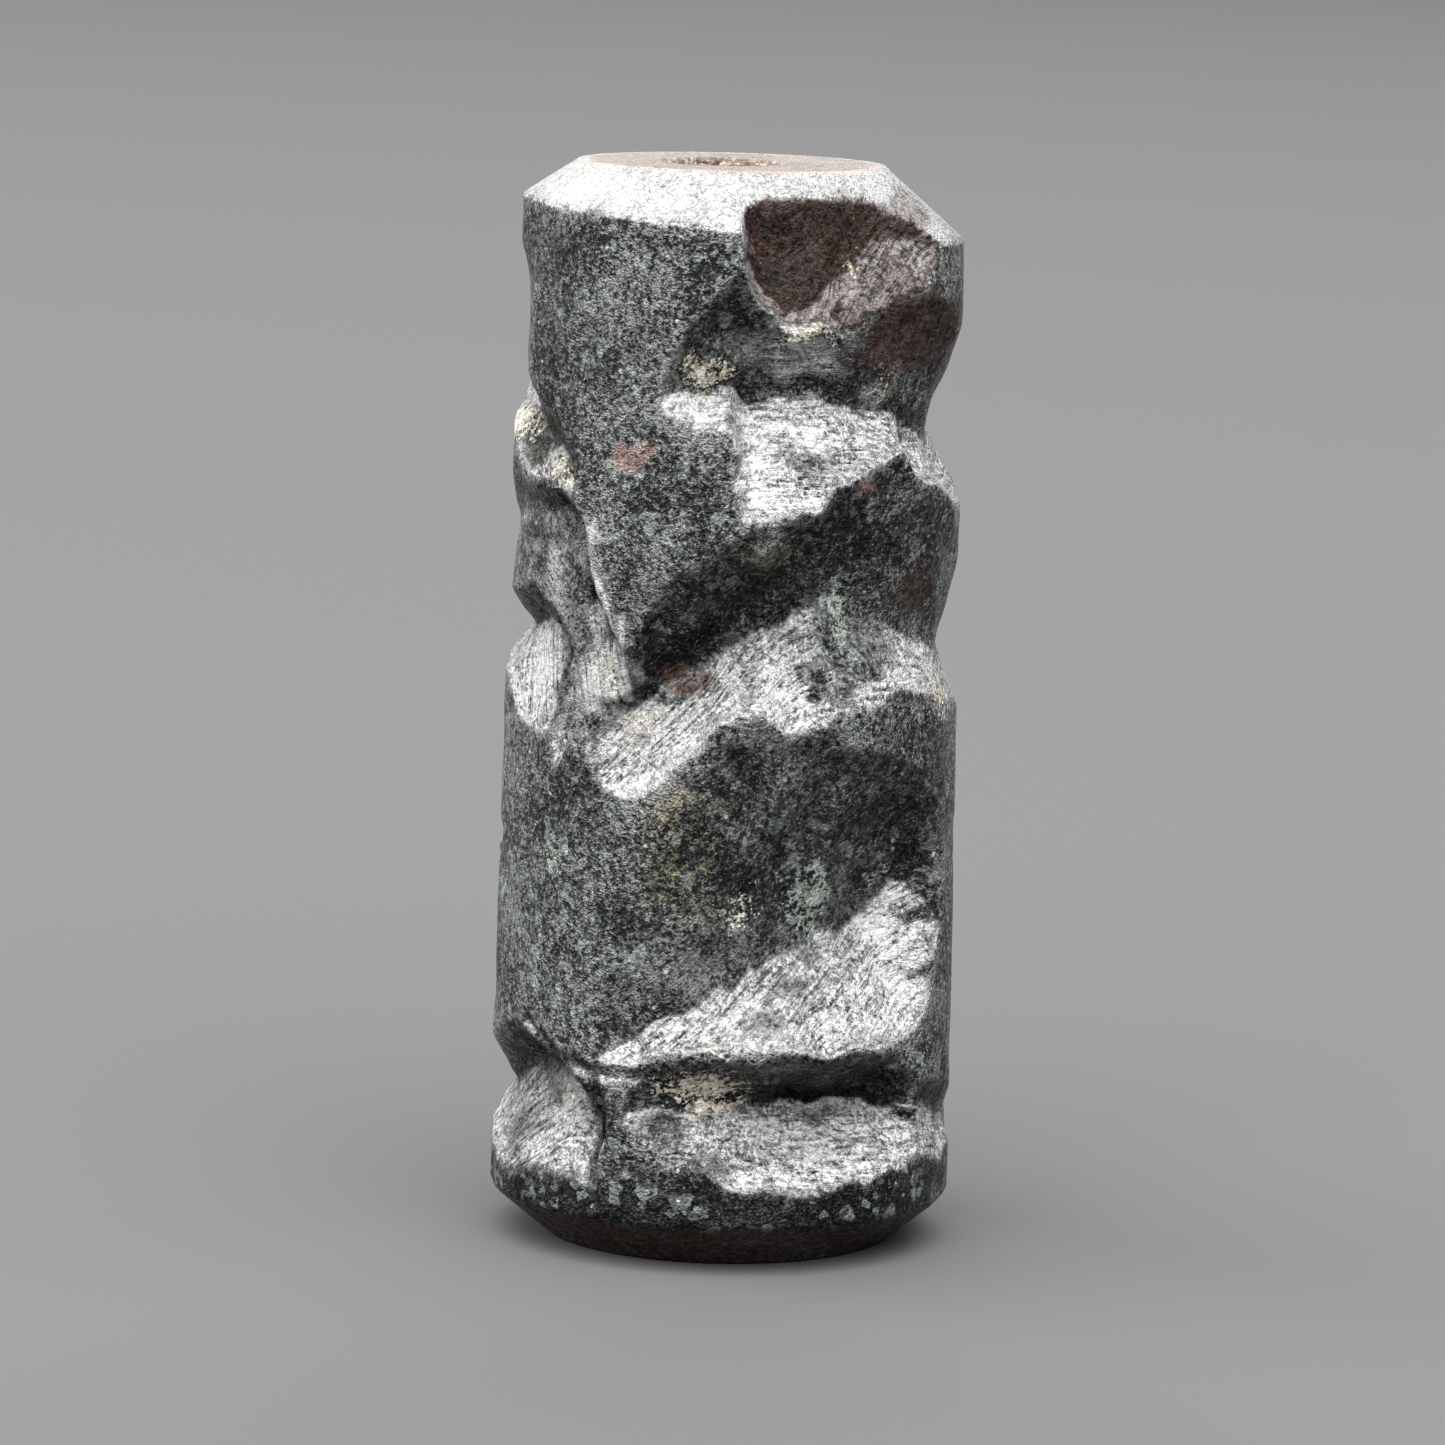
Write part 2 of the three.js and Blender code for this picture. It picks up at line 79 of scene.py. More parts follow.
# Grooves that run round the stone: the curves of the upper and the lower wall (1 is straight, more is
# hollow) with the slant of the wheel's scratches, and stations of (angle, top edge, valley, bottom edge,
# depth).
grooves = {
    "shoulder pocket": ((2.2, 1, 0.6), [
        (1.0, 30.5, 26.9, 26.5, 0.85),
        (6, 31.5, 26.1, 25.6, 1.25),
        (13, 31.5, 25.4, 24.9, 1.45),
        (21, 31.5, 25.35, 24.8, 1.5),
        (27, 31.5, 25.7, 24.6, 1.45),
        (34, 31.5, 26.5, 24.8, 1.35),
        (42, 31.5, 27.1, 25.2, 1.25),
        (50, 31, 27.3, 25.6, 1.0),
        (58, 30, 27.4, 26.2, 0.55),
        (63, 29, 27.4, 26.8, 0.05),
    ]),
    "waist": ((1, 1.25, 0.1), [
        (-21, 23.5, 23.25, 23.1, 0.1),
        (-14, 24.6, 23.4, 22.85, 0.8),
        (-8, 25.5, 23.35, 22.5, 1.2),
        (-2, 26.3, 23.3, 22.25, 1.45),
        (1.2, 26.8, 23.2, 20.1, 1.6),
        (10, 27.2, 23.2, 20.15, 1.65),
        (20, 27.2, 23.1, 20.5, 1.65),
        (30, 26.8, 23.0, 21.0, 1.5),
        (38, 26.4, 22.9, 21.6, 1.3),
        (45, 26.4, 22.7, 21.9, 1.15),
        (54, 26.2, 22.5, 21.2, 1.05),
        (64, 25.8, 22.3, 20.8, 1.0),
        (76, 25.2, 22.1, 20.3, 0.95),
        (90, 24.8, 22.0, 20.1, 0.95),
        (110, 24.6, 22.6, 20.8, 1.0),
        (130, 24.6, 23.3, 22.0, 0.7),
        (148, 24.1, 23.7, 23.2, 0.1),
    ]),
    "long valley": ((1, 1.5, 0.35), [
        (-38, 14.2, 13.9, 13.2, 0.25),
        (-31, 15.3, 14.6, 12.8, 0.75),
        (-25, 16.4, 15.2, 12.5, 1.1),
        (-21, 17.8, 15.5, 12.6, 1.15),
        (-17, 18.3, 15.7, 13.0, 1.25),
        (-13, 18.8, 15.9, 13.6, 1.3),
        (-7, 19.3, 16.2, 14.0, 1.4),
        (-2, 19.6, 16.7, 14.7, 1.5),
        (3, 19.8, 17.0, 15.1, 1.55),
        (8, 19.9, 17.3, 15.05, 1.6),
        (12, 20.1, 17.4, 14.7, 1.6),
        (16, 20.2, 17.5, 14.3, 1.55),
        (20, 20.4, 17.6, 14.4, 1.45),
        (23, 20.5, 17.65, 14.9, 1.3),
        (27, 20.6, 17.7, 15.2, 1.0),
        (32, 20.4, 17.7, 15.4, 0.5),
    ]),
    "valley end": ((1, 1, 0.35), [
        (22, 20.4, 18.0, 14.9, 1.1),
        (30, 20.8, 17.9, 15.0, 1.15),
        (38, 21.4, 17.6, 15.2, 1.1),
        (46, 21.7, 17.3, 15.3, 1.0),
        (54, 21.1, 17.0, 15.3, 0.9),
        (65, 20.7, 16.5, 15.2, 0.8),
        (78, 19.8, 16.4, 14.8, 0.65),
        (90, 18.8, 16.3, 14.6, 0.6),
        (115, 18.2, 15.8, 12.8, 1.0),
        (140, 17.2, 15.0, 11.4, 1.1),
        (162, 15.4, 13.9, 12.0, 0.7),
        (178, 13.6, 13.2, 12.7, 0.1),
    ]),
    "limb": ((0.8, 0.7, -0.6), [
        (-104, 20.2, 19.0, 17.4, 0.1),
        (-90, 20.6, 19.6, 16.9, 0.4),
        (-76, 20.9, 19.8, 15.8, 0.45),
        (-60, 20.8, 20.2, 14.6, 0.5),
        (-50, 20.6, 20.0, 13.2, 0.55),
        (-42, 19.6, 19.0, 13.0, 0.6),
        (-34, 17.5, 16.9, 13.2, 0.65),
        (-27, 16.0, 15.5, 13.2, 0.65),
        (-22, 15.2, 15.0, 13.4, 0.4),
    ]),
    "neck notch": ((1, 1.2, -1.2), [
        (-150, 19.4, 19.2, 19.0, 0.05),
        (-120, 19.0, 17.8, 15.8, 0.7),
        (-90, 17.6, 16.4, 15.4, 0.85),
        (-76, 17.7, 16.7, 14.9, 1.0),
        (-62, 17.4, 16.6, 14.2, 0.95),
        (-54, 17.0, 16.3, 13.9, 0.8),
        (-48, 16.2, 15.2, 13.5, 0.65),
        (-46, 15.4, 14.6, 13.3, 0.3),
    ]),
    "left dimple": ((1, 1, 0), [
        (-112, 24.0, 23.4, 22.8, 0.05),
        (-96, 24.6, 22.8, 22.0, 0.5),
        (-84, 24.4, 22.6, 21.7, 0.65),
        (-74, 23.7, 22.2, 20.9, 0.7),
        (-62, 23.2, 21.7, 20.5, 0.65),
        (-52, 22.6, 21.3, 20.3, 0.5),
        (-45, 21.6, 21.0, 20.4, 0.2),
    ]),
    "belly": ((1.2, 1.3, 0.3), [
        (-32, 7.4, 5.9, 5.5, 0.15),
        (-24, 10.5, 6.1, 5.5, 0.45),
        (-14, 12.8, 6.6, 5.8, 0.8),
        (-4, 14.4, 7.2, 6.0, 1.15),
        (5, 14.9, 7.8, 6.15, 1.4),
        (15, 14.7, 8.3, 6.1, 1.6),
        (26, 14.6, 8.7, 6.0, 1.75),
        (38, 14.2, 9.0, 6.0, 1.85),
        (48, 13.8, 9.3, 5.95, 1.85),
        (54, 13.4, 9.5, 6.2, 1.7),
        (60, 12.9, 9.7, 6.9, 1.35),
        (65, 12.2, 9.8, 7.9, 0.85),
        (70, 11.2, 9.9, 9.2, 0.1),
    ]),
    "foot": ((1.7, 1.1, 0), [
        (-24, 4.9, 4.3, 3.8, 0.2),
        (-18, 5.3, 4.4, 3.5, 0.5),
        (-10, 5.6, 4.4, 2.9, 0.8),
        (0, 5.7, 4.3, 2.45, 1.2),
        (8, 5.75, 4.2, 2.35, 1.5),
        (18, 5.8, 4.1, 2.3, 1.75),
        (30, 5.75, 4.05, 2.35, 1.85),
        (42, 5.7, 4.05, 2.5, 1.75),
        (52, 5.5, 4.05, 2.7, 1.35),
        (59, 5.0, 4.1, 3.0, 0.6),
    ]),
    "foot end": ((1, 1, 0), [
        (60, 4.9, 4.2, 2.6, 0.35),
        (72, 4.6, 3.9, 2.4, 0.45),
        (88, 4.2, 3.6, 2.7, 0.25),
        (98, 3.9, 3.6, 3.2, 0.05),
    ]),
    "boss groove": ((0.9, 1.5, 0.8), [
        (-138, 5.4, 5.2, 4.9, 0.05),
        (-112, 5.5, 4.6, 3.0, 0.7),
        (-90, 5.2, 3.9, 2.7, 0.75),
        (-76, 5.7, 4.7, 2.2, 1.0),
        (-62, 6.0, 5.05, 2.0, 1.15),
        (-52, 5.7, 5.0, 2.0, 1.15),
        (-45, 5.4, 4.75, 2.1, 1.05),
        (-40, 5.1, 4.4, 2.2, 0.9),
        (-36, 4.8, 3.9, 2.3, 0.7),
        (-33, 4.8, 3.6, 2.2, 0.55),
        (-30, 4.8, 3.4, 2.2, 0.35),
    ]),
    "back shoulder": ((1, 1.2, 0.2), [
        (165, 26.6, 26.2, 26.0, 0.05),
        (188, 27.2, 25.8, 23.8, 1.1),
        (214, 26.6, 24.9, 22.4, 1.3),
        (240, 25.6, 24.2, 22.3, 0.9),
        (258, 24.2, 23.6, 23.0, 0.1),
    ]),
    "back limb": ((1, 1.2, 0), [
        (172, 22.2, 21.9, 21.5, 0.1),
        (190, 22.5, 21.2, 19.2, 0.9),
        (208, 21.7, 20.3, 18.2, 1.0),
        (226, 20.0, 19.2, 17.8, 0.5),
    ]),
    "back middle": ((1, 1.2, -0.2), [
        (192, 13.9, 13.4, 13.0, 0.1),
        (214, 14.1, 12.4, 10.2, 1.0),
        (238, 13.0, 11.6, 9.8, 1.0),
        (256, 11.6, 11.0, 10.5, 0.2),
    ]),
    "back belly": ((1.2, 1.3, 0.3), [
        (98, 8.8, 8.3, 7.9, 0.05),
        (120, 11.0, 8.9, 6.5, 1.1),
        (150, 11.6, 8.7, 6.0, 1.4),
        (180, 10.0, 7.7, 5.8, 1.0),
        (206, 7.2, 6.5, 6.1, 0.2),
    ]),
    "back foot": ((1.2, 1.2, 0), [
        (104, 5.0, 4.7, 4.2, 0.2),
        (130, 5.9, 4.8, 2.7, 1.0),
        (160, 5.8, 4.5, 2.3, 1.25),
        (190, 5.8, 4.6, 2.8, 0.95),
        (214, 5.3, 4.9, 4.6, 0.2),
    ]),
}

# Scoops of the drill and of the flat wheel: (angle, height, depth, half width in degrees, half height,
# squareness across, squareness up and down).
scoops = {
    "left flank": (-90, 24.6, 0.3, 22, 2.2, 3, 3),
    "left side": (-92, 10.7, 0.22, 16, 0.45, 2, 2),
    "back breast": (168, 18.6, 0.8, 14, 1.75, 2, 1.5),
    "back hip": (234, 8.1, 0.8, 17, 1.9, 2, 1.3),
    "back knee": (140, 11.9, 0.7, 13, 1.6, 2, 1.4),
    "side shoulder": (112, 26.7, 0.7, 15, 1.5, 3, 2),
}

# Narrow lines scored into the finished relief, or raised on it where the depth is negative: stations of
# (angle, height, depth, half width).
lines = {
    "neck line": [
        (-66, 17.3, 0.4, 0.24),
        (-56, 17.0, 0.6, 0.26),
        (-49.5, 16.3, 0.7, 0.26),
        (-47, 14.9, 0.6, 0.24),
        (-46, 13.2, 0.2, 0.18),
    ],
    "limb edge": [
        (-46, 20.0, 0.1, 0.2),
        (-41, 18.6, 0.25, 0.24),
        (-38, 17.3, 0.2, 0.24),
        (-34.5, 16.3, 0.05, 0.2),
    ],
    "limb lip": [
        (-41, 19.7, -0.1, 0.2),
        (-35.5, 18.0, -0.15, 0.2),
        (-32.5, 16.8, -0.15, 0.2),
        (-28, 15.2, -0.1, 0.18),
    ],
    "boss side": [
        (-33, 5.0, 0.3, 0.2),
        (-32, 3.4, 0.4, 0.24),
        (-31, 1.9, 0.25, 0.2),
    ],
    "boss ledge": [
        (-58, 6.3, 0.2, 0.16),
        (-49, 5.6, 0.35, 0.22),
        (-40, 5.3, 0.25, 0.16),
        (-26, 5.2, 0.2, 0.14),
        (-14, 5.3, 0.2, 0.14),
    ],
    "foot slot": [
        (6, 4.6, 0.1, 0.4),
        (16, 4.5, 0.3, 0.55),
        (28, 4.45, 0.45, 0.6),
        (42, 4.4, 0.4, 0.6),
        (52, 4.4, 0.15, 0.45),
    ],
    "valley slot": [
        (-21, 15.7, 0.2, 0.4),
        (-12, 16.4, 0.35, 0.5),
        (0, 17.4, 0.3, 0.45),
        (9, 17.9, 0.1, 0.3),
    ],
    "pocket foot": [
        (8, 25.3, 0.3, 0.16),
        (15, 25.2, 0.35, 0.18),
        (24, 25.1, 0.25, 0.16),
    ],
    "facet arc": [
        (8, 21.9, 0.05, 0.12),
        (14, 22.25, 0.12, 0.16),
        (22, 22.3, 0.12, 0.16),
        (28, 22.1, 0.05, 0.12),
    ],
}


def near(angle, middle):
    """The same angle, counted so that it lies within half a turn of the middle."""
    return middle + np.mod(angle - middle + 180, 360) - 180


def groove_at(stations, angle):
    """The angle counted to suit a groove, and the groove's top, valley, bottom and depth there."""
    turns, *levels = zip(*stations)
    place = near(angle, (turns[0] + turns[-1]) / 2)
    top, valley, bottom, depth = (np.interp(place, turns, level) for level in levels)
    return place, top, valley, bottom, depth


def groove_cut(groove, angle, height):
    """The depth in mm that one groove cut at each place."""
    (upper_curve, lower_curve, _), stations = groove
    place, top, valley, bottom, depth = groove_at(stations, angle)
    upper = np.clip((height - valley) / (top - valley), 0, 1) ** upper_curve
    lower = np.clip((valley - height) / (valley - bottom), 0, 1) ** lower_curve
    inside = (place >= stations[0][0]) & (place <= stations[-1][0])
    return np.where(inside, depth * (1 - np.maximum(upper, lower)), 0)


def scratch_step(groove, angle, height):
    """How many mm across the scratches of one groove each place lies."""
    (_, _, slant), stations = groove
    place, _, valley, _, _ = groove_at(stations, angle)
    return height - valley - slant * (place - stations[0][0]) * DEGREE * foot_radius


def scoop_cut(scoop, angle, height):
    """The depth in mm that one scoop cut at each place."""
    middle, level, depth, half_width, half_height, square_across, square_up = scoop
    across = np.abs(near(angle, middle) - middle) / half_width
    up = np.abs(height - level) / half_height
    return np.maximum(0, depth * (1 - across ** square_across - up ** square_up))


def line_cut(stations, angle, height):
    """The depth in mm that one scored line cut at each place."""
    depth = np.zeros_like(angle)
    for start, end in zip(stations, stations[1:]):
        run_x = (end[0] - start[0]) * DEGREE * foot_radius
        run_y = end[1] - start[1]
        off_x = (near(angle, start[0]) - start[0]) * DEGREE * foot_radius
        off_y = height - start[1]
        share = np.clip((off_x * run_x + off_y * run_y) / (run_x ** 2 + run_y ** 2), 0, 1)
        miss = np.hypot(off_x - share * run_x, off_y - share * run_y)
        deep = start[2] + (end[2] - start[2]) * share
        half = start[3] + (end[3] - start[3]) * share
        share_of_half = np.maximum(0, 1 - miss / half)
        depth = np.where(np.abs(deep) * share_of_half > np.abs(depth), deep * share_of_half, depth)
    return depth


def body_radius(z):
    """The uncarved stone tapers a little from the foot to the shoulder."""
    rise = (z - base_chamfer_height) / (seal_height - top_chamfer_height - base_chamfer_height)
    return foot_radius + (shoulder_radius - foot_radius) * np.clip(rise, 0, 1) ** 1.3


def section_rows(turn):
    """Heights of the rings in each column, down the carved side from the top face to the base face."""
    shoulder = seal_height - top_chamfer_height - top_chamfer_lean * np.sin(turn)
    top = np.linspace(0, 1, top_chamfer_rows, endpoint=False)
    side = np.linspace(0, 1, side_rows, endpoint=False)
    base = np.linspace(0, 1, base_chamfer_rows + 1)
    return np.concatenate([
        seal_height + (shoulder - seal_height) * top[None, :],
        shoulder + (base_chamfer_height - shoulder) * side[None, :],
        np.broadcast_to(base_chamfer_height * (1 - base[None, :]), (len(turn), len(base))),
    ], axis=1)


# The columns stand closer together in front, where the finest carving is.
turn = np.arange(columns)[:, None] * 2 * np.pi / columns
turn = turn - front_crowding * np.sin(turn)
ring_z = section_rows(turn)
ring_count = ring_z.shape[1]
ring_turn = np.broadcast_to(turn, ring_z.shape)
row_step = seal_height / ring_count
column_step = 2 * math.pi * foot_radius / columns


def weathering(seed, lump):
    """A smooth random field over the rings, with lumps of about that many mm and a spread of 1."""
    field = np.random.default_rng(seed).standard_normal((columns, ring_count))
    around = np.fft.fftfreq(columns, d=column_step)[:, None]
    up = np.fft.fftfreq(ring_count, d=row_step)[None, :]
    soft = np.exp(-2 * lump ** 2 * (around ** 2 + up ** 2))
    field = np.fft.ifft2(np.fft.fft2(field) * soft).real
    return field / field.std()


# The hand wanders and the stone breaks in grains, so every edge of the carving is ragged. The long
# ledge over the foot was cut with a firmer hand.
firm_share = 0.7
firm_level = 5
firm_reach = 1.4
wander = 0.12 * (1 - firm_share * np.exp(-((ring_z - firm_level) / firm_reach) ** 2))
wander_lump = 1.3
tremble = 0.032
tremble_lump = 0.35


def stray(seed):
    """How many mm the edges stray at each place, with the hand and with the grain."""
    return wander * weathering(seed, wander_lump) + tremble * weathering(seed + 1, tremble_lump)


angle = ring_turn / DEGREE + stray(1) / foot_radius / DEGREE
height = (ring_z + stray(3)) / tall

# The deepest groove wins. Near a second groove of almost that depth the scratches fade.
crossing_fade = 0.08
cut = np.zeros_like(angle)
second_cut = np.zeros_like(angle)
across = np.zeros_like(angle)
in_pocket = np.zeros_like(angle)
for name, groove in grooves.items():
    depth = groove_cut(groove, angle, height)
    deeper = depth > cut
    second_cut = np.maximum(second_cut, np.minimum(depth, cut))
    cut = np.where(deeper, depth, cut)
    across = np.where(deeper, scratch_step(groove, ring_turn / DEGREE, ring_z / tall), across)
    in_pocket = np.where(deeper, float(name == "shoulder pocket"), in_pocket)
clear_of_others = np.clip((cut - second_cut) / crossing_fade, 0, 1)
for scoop in scoops.values():
    cut = np.maximum(cut, scoop_cut(scoop, angle, height))
for stations in lines.values():
    cut = cut + line_cut(stations, angle, height)
cut = np.maximum(0, cut) * wide

# Wear: broad unevenness, small bruises and the sugary grain of the stone, all cut inwards.
unevenness = 0.04
unevenness_lump = 1.8
bruises = 0.03
bruise_lump = 0.5
bruise_rarity = 0.6
sugar = 0.004
sugar_lump = 0.2
rough = unevenness * np.maximum(0, weathering(5, unevenness_lump))
rough = rough + bruises * np.maximum(0, weathering(6, bruise_lump) - bruise_rarity)
rough = rough + sugar * np.abs(weathering(7, sugar_lump))

top_edge = top_face_radius - top_face_shift * np.sin(ring_turn)
top_slope = (shoulder_radius - top_edge) / (top_chamfer_height + top_chamfer_lean * np.sin(ring_turn))
base_slope = (foot_radius - base_face_radius) / base_chamfer_height
under_top = top_edge + (seal_height - ring_z) * top_slope
over_base = base_face_radius + ring_z * base_slope
carved = body_radius(ring_z) - cut
ring_radius = np.minimum(np.minimum(carved, under_top), over_base)
chamfer_margin = 0.02
on_side = carved < under_top - chamfer_margin
flat_rim = 0.4
wear_share = np.minimum(1, np.minimum(seal_height - ring_z, ring_z) / flat_rim)
ring_radius = ring_radius - rough * wear_share


def worn(field, passes):
    """Edges rubbed down: each ring point moves towards its neighbours, the two end rings stay."""
    for _ in range(passes):
        around = (np.roll(field, 1, axis=0) + 2 * field + np.roll(field, -1, axis=0)) / 4
        up = around.copy()
        up[:, 1:-1] = (around[:, :-2] + 2 * around[:, 1:-1] + around[:, 2:]) / 4
        field = up
    return field


ring_radius[:, 1:-1] = worn(ring_radius, 1)[:, 1:-1]

# Each column of points runs down the side, in under the base, up the bore and out over the top.
mouth_radius = bore_radius + bore_mouth_wear
shares = np.linspace(0, 1, face_rings + 1)[1:]
under_face = ring_radius[:, -1:] + (mouth_radius - ring_radius[:, -1:]) * shares
over_face = mouth_radius + (ring_radius[:, :1] - mouth_radius) * shares[:-1]
bore_z = np.linspace(bore_mouth_wear, seal_height - bore_mouth_wear, bore_rings)
all_radius = np.concatenate([
    ring_radius,
    under_face,
    np.full((columns, bore_rings), bore_radius),
    np.full((columns, 1), mouth_radius),
    over_face,
], axis=1)
all_z = np.concatenate([
    ring_z,
    np.zeros_like(under_face),
    np.broadcast_to(bore_z, (columns, bore_rings)),
    np.full((columns, 1), seal_height),
    np.full_like(over_face, seal_height),
], axis=1)
# The bore was drilled a little askew: it comes out in the middle of the base face and left of the
# middle of the top face.
sideways = np.concatenate([
    np.zeros_like(ring_radius),
    np.zeros_like(under_face),
    np.broadcast_to(bore_top_shift * bore_z / seal_height, (columns, bore_rings)),
    np.full((columns, 1), bore_top_shift),
    np.broadcast_to(bore_top_shift * (1 - shares[:-1]), over_face.shape),
], axis=1)
round_count = all_radius.shape[1]
points = np.stack([
    sideways + all_radius * np.sin(turn),
    -all_radius * np.cos(turn),
    all_z,
], axis=2).reshape(-1, 3) * MM
column_index, row_index = np.meshgrid(np.arange(columns), np.arange(round_count), indexing="ij")
next_column = (column_index + 1) % columns
next_row = (row_index + 1) % round_count
faces = np.stack([
    column_index * round_count + row_index,
    column_index * round_count + next_row,
    next_column * round_count + next_row,
    next_column * round_count + row_index,
], axis=2).reshape(-1, 4)

stone_mesh = bpy.data.meshes.new("carved_stone")
stone_mesh.from_pydata(points.tolist(), [], faces.tolist())
stone_mesh.polygons.foreach_set("use_smooth", np.ones(len(faces), dtype=bool))


def give_stone(name, values):
    """Stores a value for each point of the side; the end faces and the bore get nothing."""
    full = np.zeros((columns, round_count), dtype=np.float32)
    full[:, :ring_count] = values
    attribute = stone_mesh.attributes.new(name, "FLOAT", "POINT")
    attribute.data.foreach_set("value", full.ravel())


# Stains, crust, spots of painted highlight and painted shade, and gaps where the frosting and its
# painted
# highlight are lost: (angle, height, half width in degrees, half height, strength). The raised lip of
# the limb and the arc on the white facet get painted highlight along their whole length.
highlight_lines = ("limb lip", "facet arc")
highlight_line_strength = 1.4
highlight_line_depth = 0.12
stains = {
    "rust": [
        (58, 24.9, 26, 1.3, 1),
        (45, 27.7, 14, 0.7, 0.8),
        (64, 28.1, 20, 0.5, 1),
        (36, 28.4, 8, 0.3, 0.6),
        (62, 17.9, 13, 1.0, 0.8),
        (-13, 15.7, 9, 0.45, 1.2),
        (80, 27.3, 14, 1.2, 0.5),
    ],
    "red": [
        (-28, 21.6, 5.5, 0.33, 1.1),
        (-18, 15.4, 5, 0.2, 0.7),
        (36, 20.9, 5, 0.4, 0.7),
        (-30, 14.1, 4, 0.25, 0.6),
        (32, 25.5, 6, 0.3, 0.4),
    ],
    # Painted highlight: spots where walls are painted pale, as if lit.
    "painted_highlight": [
        (15, 24.3, 22, 0.7, 0.8),
        (-40.5, 19.2, 2.5, 0.6, 1),
        (-36, 17.9, 2.5, 0.7, 1),
        (-31, 16.9, 2.5, 0.6, 1),
        (-26, 15.9, 2.5, 0.5, 1),
        (-55, 18.4, 5, 0.9, 0.5),
        (-36, 15.6, 6, 1.3, 0.9),
        (-28, 14.5, 8, 0.5, 1.2),
        (-68, 15.4, 9, 1.2, 0.9),
        (-50, 4.2, 6, 0.7, 0.5),
        (52, 15.8, 7, 0.4, 0.6),
        (70, 3.4, 10, 1.0, 0.4),
        (4, 21.2, 4, 1.2, 1),
        (17, 22.2, 10, 0.22, 1),
        (22, 23.9, 15, 0.45, 1),
        (46, 23.2, 8, 0.5, 0.8),
        (17, 20.6, 9, 0.35, 0.9),
        (-10, 23.1, 8, 0.35, 0.8),
        (58, 8.4, 6, 1.2, 1),
        (14, 15.2, 6, 0.6, 0.8),
        (-22, 13.0, 6, 0.4, 0.8),
        (45, 6.6, 14, 0.35, 0.7),
        (24, 2.6, 30, 0.25, 0.5),
    ],
    # Painted shade: spots darkened towards black, all round the foot and in places on the side.
    "painted_shade": [
        (0, 1.5, 400, 0.95, 1.4),
        (-30, 3.6, 5, 1.4, 0.8),
        (-68, 22.0, 13, 0.9, 1.3),
        (-58, 20.2, 6, 0.35, 1),
        (-68, 18.9, 12, 0.7, 0.7),
        (-40, 12.5, 9, 1.2, 0.5),
        (28, 4.4, 22, 0.4, 0.8),
        (-50, 24.4, 30, 1.2, 0.3),
        (62, 13.0, 20, 2.0, 0.4),
        (-24, 17.8, 9, 1.2, 0.5),
        (-66, 26.3, 30, 1.2, 0.3),
    ],
    "grainy": [
        (-62, 9.5, 24, 3.8, 1.2),
        (30, 5.5, 34, 0.45, 1.3),
        (-80, 4.0, 30, 2.5, 0.8),
        (0, 1.8, 400, 0.6, 1),
    ],
    # Gaps in the frosting and its painted highlight, where walls are left dark as in shade.
    "frost_highlight_gaps": [
        (-68, 21.9, 14, 0.9, 1.3),
        (-53, 15.2, 3, 1.5, 0.8),
        (37, 16.9, 12, 1.2, 1.3),
        (30, 15.6, 6, 0.8, 0.7),
        (0, 1.6, 400, 0.75, 1.2),
        (-16, 3.7, 8, 0.7, 1.1),
        (-5, 2.8, 9, 0.5, 0.9),
        (24, 3.3, 34, 0.8, 0.38),
        (36, 3.9, 16, 0.2, 0.7),
        (21, 21.4, 12, 0.5, 0.65),
        (32, 23.0, 14, 0.45, 0.6),
        (10, 6.7, 7, 0.35, 0.7),
        (20, 7.5, 7, 0.4, 0.7),
        (30, 8.3, 7, 0.45, 0.7),
        (41, 9.1, 7, 0.45, 0.65),
        (-66, 3.0, 12, 0.9, 0.6),
        (-33, 3.4, 4, 2.0, 0.9),
        (45, 26.2, 18, 0.9, 0.6),
    ],
    "crust": [
        (-9, 23.8, 9, 0.5, 1.3),
        (20, 24.9, 10, 0.4, 1.15),
        (36, 26.7, 5, 0.35, 1),
        (47, 23.4, 5, 0.6, 0.8),
        (-52, 20.9, 8, 0.5, 1),
        (-35, 15.6, 7, 0.6, 0.9),
        (-20, 14.5, 10, 0.5, 0.8),
        (-28, 14.4, 8, 0.5, 1.1),
        (70, 15.2, 12, 1.0, 1),
        (3, 9.6, 8, 0.7, 0.9),
        (-4, 4.9, 16, 0.6, 1.35),
        (-1, 4.3, 13, 0.35, 1.2),
        (-48, 4.3, 12, 0.7, 0.7),
        (-88, 21.8, 17, 0.7, 1.4),
        (0, 5.9, 4, 0.3, 0.8),
    ],
    "pale": [
        (28, 9.8, 8, 1.1, 1.8),
        (58, 5.3, 8, 0.4, 0.9),
        (20, 5.5, 12, 0.25, 0.8),
        (55, 10.3, 8, 0.4, 0.9),
        (-76, 9.4, 8, 0.6, 1.1),
        (33, 17.4, 5, 1.6, 0.9),
        (-4, 26.3, 4, 0.6, 0.8),
        (-50, 10.8, 5, 1.2, 0.7),
        (-44, 11.2, 4, 0.4, 0.6),
        (-88, 21.7, 12, 0.7, 0.8),
    ],
    "olive": [
        (-12, 11.2, 11, 2.0, 1),
        (5, 19.3, 20, 0.8, 0.8),
        (-2, 12.6, 10, 0.8, 0.7),
        (-70, 21.9, 12, 0.9, 1),
    ],
}
for stain, spots in stains.items():
    amount = np.zeros_like(angle)
    for middle, level, half_width, half_height, strength in spots:
        off = ((near(angle, middle) - middle) / half_width) ** 2 + ((height - level) / half_height) ** 2
        amount = np.maximum(amount, strength * np.exp(-off))
    if stain == "rust":
        amount = np.maximum(amount, in_pocket * on_side)
    # The painted highlight also runs the whole length of the highlight lines.
    if stain == "painted_highlight":
        for name in highlight_lines:
            share = np.abs(line_cut(lines[name], angle, height)) / highlight_line_depth
            amount = np.maximum(amount, highlight_line_strength * np.clip(share, 0, 1))
    give_stone(stain, amount)

